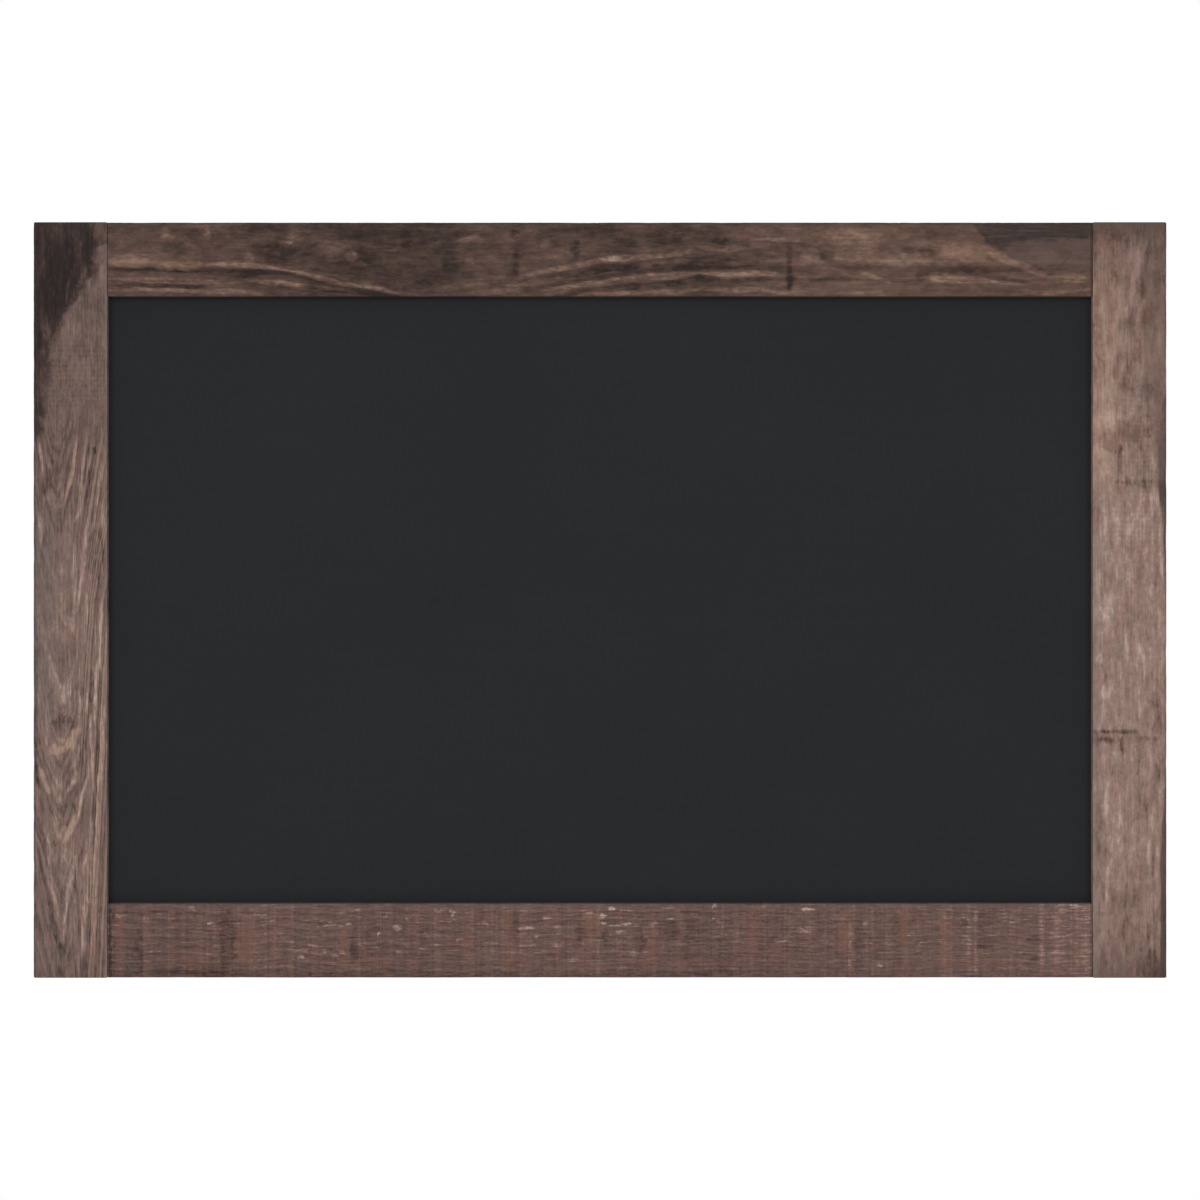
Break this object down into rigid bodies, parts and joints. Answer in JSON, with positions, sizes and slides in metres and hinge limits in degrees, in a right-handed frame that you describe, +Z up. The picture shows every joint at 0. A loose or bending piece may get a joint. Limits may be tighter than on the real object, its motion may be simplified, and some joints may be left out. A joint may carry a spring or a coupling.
{
  "type": "framed chalkboard",
  "caption": "Wall chalkboard: butt-jointed wood frame with a routed rebate, magnetic writing panel held by steel points, and folded strap hangers with swinging rings on the back.",
  "frame": {"origin": "on the wall plane, midway between the two wall hooks that carry the board, at the height where the hooks meet the hanger rings", "axes": "+Z up, +X along the board's length to the right as seen from the front, +Y into the wall, so that the writing face looks along -Y"},
  "size_m": [0.9144, 0.0241, 0.6096],
  "materials": {
    "wood_left": "weathered, matt, with a dark stained end",
    "wood_top": "weathered, matt, dark and blotched",
    "wood_right": "weathered, matt, light pinkish tan",
    "wood_bottom": "rough-sawn, matt, reddish brown",
    "chalk_coating": "matt slate-grey chalk coating on steel",
    "hardboard": "matt brown hardboard",
    "beech": "grooved beech, sealed in the joints",
    "zinc_point": "zinc-plated sheet",
    "nickel_strap": "nickel-plated strip",
    "nickel_wire": "nickel-plated wire",
    "screw_steel": "zinc-plated",
    "bumper_rubber": "matt black rubber"
  },
  "bodies": {
    "board": {"left_stile": "wood_left", "right_stile": "wood_right", "top_rail": "wood_top", "bottom_rail": "wood_bottom", "writing_sheet": "chalk_coating", "backer_board": "hardboard", "dowel_top_left_outer": "beech", "dowel_top_left_inner": "beech", "dowel_top_right_outer": "beech", "dowel_top_right_inner": "beech", "dowel_bottom_left_outer": "beech", "dowel_bottom_left_inner": "beech", "dowel_bottom_right_outer": "beech", "dowel_bottom_right_inner": "beech", "panel_point_top_1": "zinc_point", "panel_point_top_2": "zinc_point", "panel_point_top_3": "zinc_point", "panel_point_top_4": "zinc_point", "panel_point_bottom_1": "zinc_point", "panel_point_bottom_2": "zinc_point", "panel_point_bottom_3": "zinc_point", "panel_point_bottom_4": "zinc_point", "panel_point_left_1": "zinc_point", "panel_point_left_2": "zinc_point", "panel_point_left_3": "zinc_point", "panel_point_right_1": "zinc_point", "panel_point_right_2": "zinc_point", "panel_point_right_3": "zinc_point", "hanger_strap_top_left": "nickel_strap", "hanger_screw_top_left": "screw_steel", "hanger_strap_top_right": "nickel_strap", "hanger_screw_top_right": "screw_steel", "hanger_strap_side_upper": "nickel_strap", "hanger_screw_side_upper": "screw_steel", "hanger_strap_side_lower": "nickel_strap", "hanger_screw_side_lower": "screw_steel", "bumper_top_left": "bumper_rubber", "bumper_top_right": "bumper_rubber", "bumper_bottom_left": "bumper_rubber", "bumper_bottom_right": "bumper_rubber"},
    "ring_top_left": {"hanger_ring_top_left": "nickel_wire"},
    "ring_top_right": {"hanger_ring_top_right": "nickel_wire"},
    "ring_side_upper": {"hanger_ring_side_upper": "nickel_wire"},
    "ring_side_lower": {"hanger_ring_side_lower": "nickel_wire"}
  },
  "joints": [
    {"name": "ring_top_left_swing", "type": "hinge", "parent": "board", "child": "ring_top_left", "pos_m": [-0.3372, -0.0029, -0.00848], "axis": [-1, 0, 0], "range_deg": [0, 177.5]},
    {"name": "ring_top_right_swing", "type": "hinge", "parent": "board", "child": "ring_top_right", "pos_m": [0.3372, -0.0029, -0.00848], "axis": [-1, 0, 0], "range_deg": [0, 177.5]},
    {"name": "ring_side_upper_swing", "type": "hinge", "parent": "board", "child": "ring_side_upper", "pos_m": [-0.4372, -0.0029, -0.10848], "axis": [0, 0, -1], "range_deg": [0, 177.5]},
    {"name": "ring_side_lower_swing", "type": "hinge", "parent": "board", "child": "ring_side_lower", "pos_m": [-0.4372, -0.0029, -0.47808], "axis": [0, 0, -1], "range_deg": [0, 177.5]}
  ]
}
